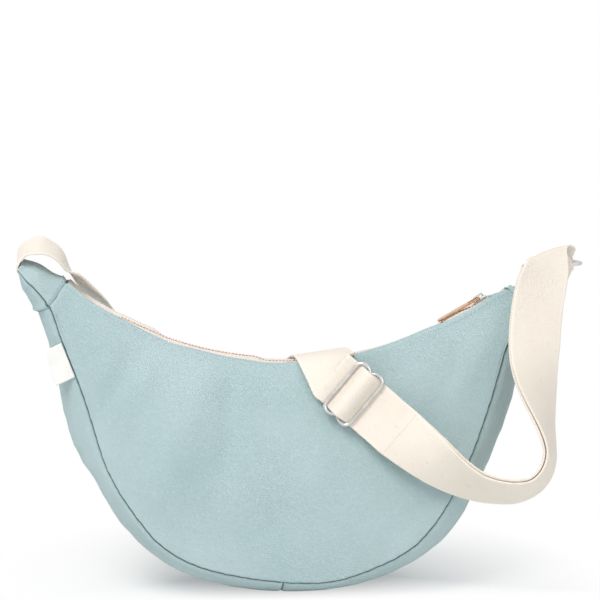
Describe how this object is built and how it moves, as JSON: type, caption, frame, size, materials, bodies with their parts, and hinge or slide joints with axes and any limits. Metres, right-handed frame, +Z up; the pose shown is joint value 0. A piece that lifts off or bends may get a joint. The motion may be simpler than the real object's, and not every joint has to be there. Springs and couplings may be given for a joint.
{
  "type": "crescent sling bag",
  "caption": "Crescent-shaped canvas sling bag with a curved zip along its top edge and a webbing strap running through a wire slider and a wire ring.",
  "frame": {"origin": "on the surface that the bag stands on, under the middle of the shell", "axes": "+X along the bag towards the tip with the ring, -Y the front, +Z up"},
  "size_m": [0.4308, 0.167, 0.2759],
  "materials": {
    "canvas": "pale teal cotton twill",
    "webbing": "natural cotton webbing",
    "zip_tape": "cream woven tape",
    "label_cloth": "white woven cloth, bare",
    "copper_metal": "rose-gold plated, satin",
    "silver_metal": "nickel plated, polished"
  },
  "bodies": {
    "bag": {"front_panel": "canvas", "back_panel": "canvas", "gusset_left": "canvas", "gusset_right": "canvas", "cap_left_front": "canvas", "cap_left_back": "canvas", "cap_left_side": "canvas", "cap_right_front": "canvas", "cap_right_back": "canvas", "cap_right_side": "canvas", "zip_tape_front": "zip_tape", "zip_tape_back": "zip_tape", "zip_teeth_front": "copper_metal", "zip_teeth_back": "copper_metal", "zip_bottom_stop": "copper_metal", "zip_top_stops": "copper_metal", "label": "label_cloth", "strap_rear_run": "webbing", "strap_front_span": "webbing", "strap_outer_layer": "webbing", "strap_ring_bend": "webbing", "strap_inner_layer": "webbing", "strap_inner_span": "webbing", "ring_tab": "webbing"},
    "slider": {"zip_slider": "silver_metal"},
    "pull": {"zip_pull": "copper_metal"},
    "glide": {"tri_glide": "silver_metal", "strap_sewn_end": "webbing"},
    "ring": {"strap_ring": "silver_metal"}
  },
  "joints": [
    {"name": "zip_slide", "type": "hinge", "parent": "bag", "child": "slider", "pos_m": [0, 0, 0.45], "axis": [0, 1, 0], "range_deg": [0, 64]},
    {"name": "pull_flip", "type": "hinge", "parent": "slider", "child": "pull", "pos_m": [0.14469, 0, 0.22548], "axis": [0, 1, 0], "range_deg": [0, 150]},
    {"name": "glide_slide", "type": "slide", "parent": "bag", "child": "glide", "axis": [0.7286, -0.309, -0.6113], "range_m": [-0.01, 0.01], "deforming": ["strap_front_span", "strap_inner_span"]},
    {"name": "ring_pivot", "type": "hinge", "parent": "bag", "child": "ring", "pos_m": [0.19636, 0.00842, 0.249], "axis": [-0.9361, -0.3407, -0.0872], "range_deg": [0, 12]}
  ]
}
